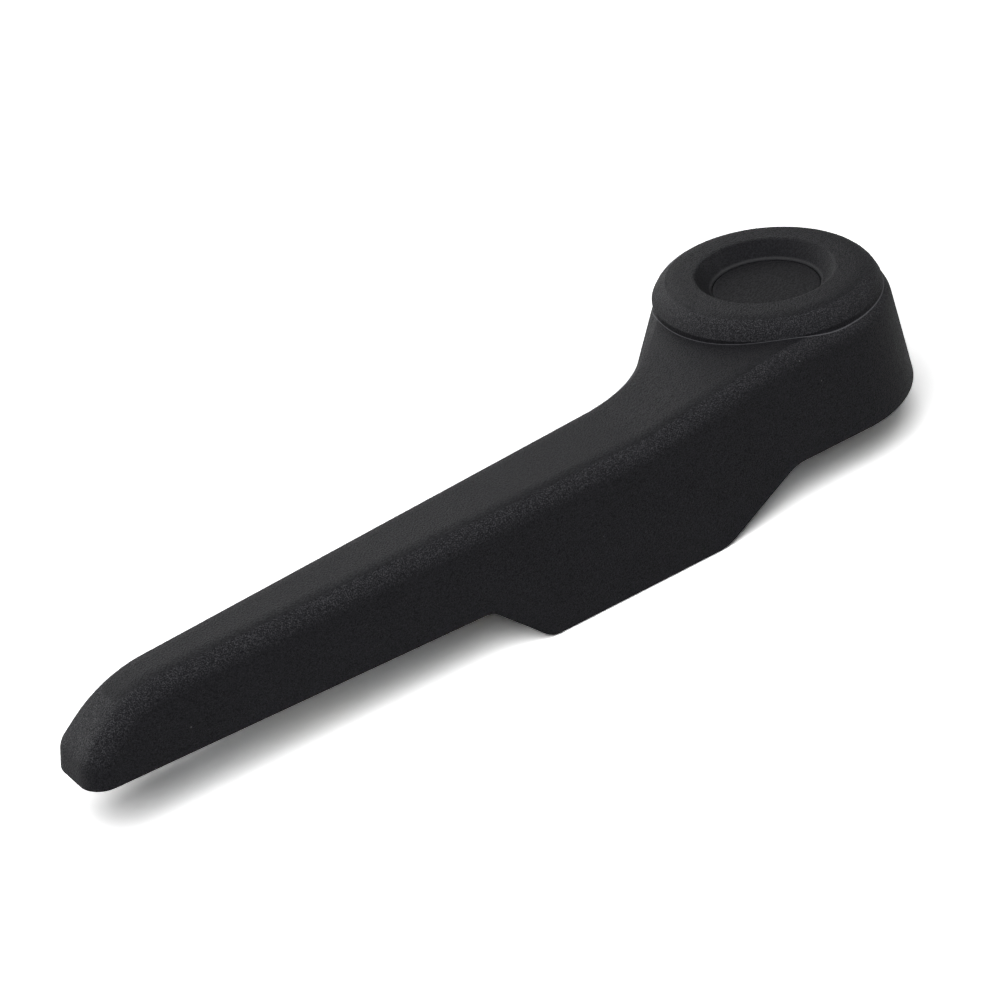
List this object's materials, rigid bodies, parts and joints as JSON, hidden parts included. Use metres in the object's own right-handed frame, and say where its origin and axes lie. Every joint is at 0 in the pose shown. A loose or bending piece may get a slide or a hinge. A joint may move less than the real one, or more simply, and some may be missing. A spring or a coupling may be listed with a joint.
{
  "type": "seat recliner handle",
  "caption": "Black moulded seat recliner lever with a dished round hub, a long tapered arm, a deep skirt beside the hub and a clip-on spindle socket.",
  "frame": {"origin": "on the hub's axis at the hub's back rim", "axes": "+Z out of the hub's face, +X along the arm from the hub to the tip, +Y towards the arm's straight wall"},
  "size_m": [0.1888, 0.0524, 0.0332],
  "materials": {
    "grained_plastic": "fine grain",
    "cap_plastic": "fine grain",
    "zinc_plate": "zinc plated sheet",
    "turned_steel": "turned",
    "spring_steel": "dark oiled spring steel",
    "screw_steel": "yellow zinc plated"
  },
  "bodies": {
    "handle": {"lever_shell": "grained_plastic", "core_plate": "zinc_plate", "drive_sleeve": "turned_steel", "plate_screw_1": "screw_steel", "plate_screw_2": "screw_steel", "plate_screw_3": "screw_steel", "plate_screw_4": "screw_steel", "plate_screw_5": "screw_steel"},
    "cap": {"hub_cap": "cap_plastic"},
    "clip": {"retaining_clip": "spring_steel"}
  },
  "joints": [
    {"name": "cap_pull", "type": "slide", "parent": "handle", "child": "cap", "axis": [0, 0, 1], "range_m": [0, 0.01]},
    {"name": "clip_release", "type": "slide", "parent": "handle", "child": "clip", "axis": [-1, 0, 0], "range_m": [0, 0.005]}
  ]
}
